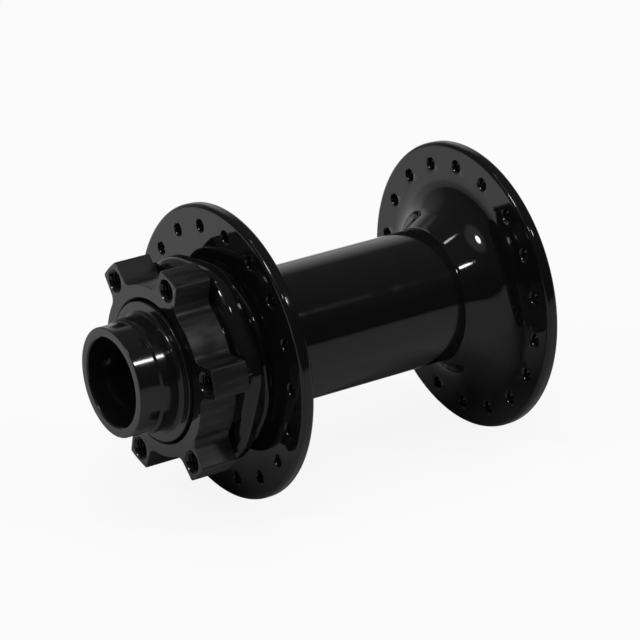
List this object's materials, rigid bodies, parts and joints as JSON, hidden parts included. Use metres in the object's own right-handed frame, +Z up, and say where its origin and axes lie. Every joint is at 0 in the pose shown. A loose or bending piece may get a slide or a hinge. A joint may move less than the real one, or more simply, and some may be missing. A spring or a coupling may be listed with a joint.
{
  "type": "bicycle front hub",
  "caption": "Front wheel hub with drilled spoke flanges, an eared disc rotor mount and sealed cartridge bearings running on a through axle.",
  "frame": {"origin": "on the hub axis, midway between the two dropout faces", "axes": "+Y along the hub axis, away from the disc side; +Z up; the rotor mount faces -Y"},
  "size_m": [0.067, 0.11, 0.067],
  "materials": {
    "shell_anodised": "gloss black anodised, turned and polished",
    "cap_anodised": "gloss black anodised, turned",
    "spacer_aluminium": "plain turned",
    "bearing_steel": "ground bearing steel",
    "ball_steel": "polished bearing steel",
    "cage_steel": "pressed steel ribbon",
    "bearing_seal_rubber": "matte moulded rubber",
    "cap_seal_rubber": "matte moulded rubber"
  },
  "bodies": {
    "axle": {"disc_end_cap": "cap_anodised", "plain_end_cap": "cap_anodised", "disc_cap_seal": "cap_seal_rubber", "plain_cap_seal": "cap_seal_rubber", "spacer_tube": "spacer_aluminium", "disc_inner_race": "bearing_steel", "plain_inner_race": "bearing_steel"},
    "shell": {"hub_shell": "shell_anodised", "disc_outer_race": "bearing_steel", "plain_outer_race": "bearing_steel", "disc_outboard_seal": "bearing_seal_rubber", "disc_inboard_seal": "bearing_seal_rubber", "plain_outboard_seal": "bearing_seal_rubber", "plain_inboard_seal": "bearing_seal_rubber"},
    "disc_ball_set": {"disc_balls": "ball_steel", "disc_outboard_cage": "cage_steel", "disc_inboard_cage": "cage_steel"},
    "plain_ball_set": {"plain_balls": "ball_steel", "plain_outboard_cage": "cage_steel", "plain_inboard_cage": "cage_steel"}
  },
  "joints": [
    {"name": "shell_spin", "type": "hinge", "parent": "axle", "child": "shell", "pos_m": [0, 0, 0], "axis": [0, 1, 0], "continuous": true},
    {"name": "disc_balls_orbit", "type": "hinge", "parent": "axle", "child": "disc_ball_set", "pos_m": [0, 0, 0], "axis": [0, 1, 0], "continuous": true},
    {"name": "plain_balls_orbit", "type": "hinge", "parent": "axle", "child": "plain_ball_set", "pos_m": [0, 0, 0], "axis": [0, 1, 0], "continuous": true}
  ],
  "couplings": [
    {"joint": "disc_balls_orbit", "follows": "shell_spin", "ratio": 0.5673},
    {"joint": "plain_balls_orbit", "follows": "shell_spin", "ratio": 0.5673}
  ]
}
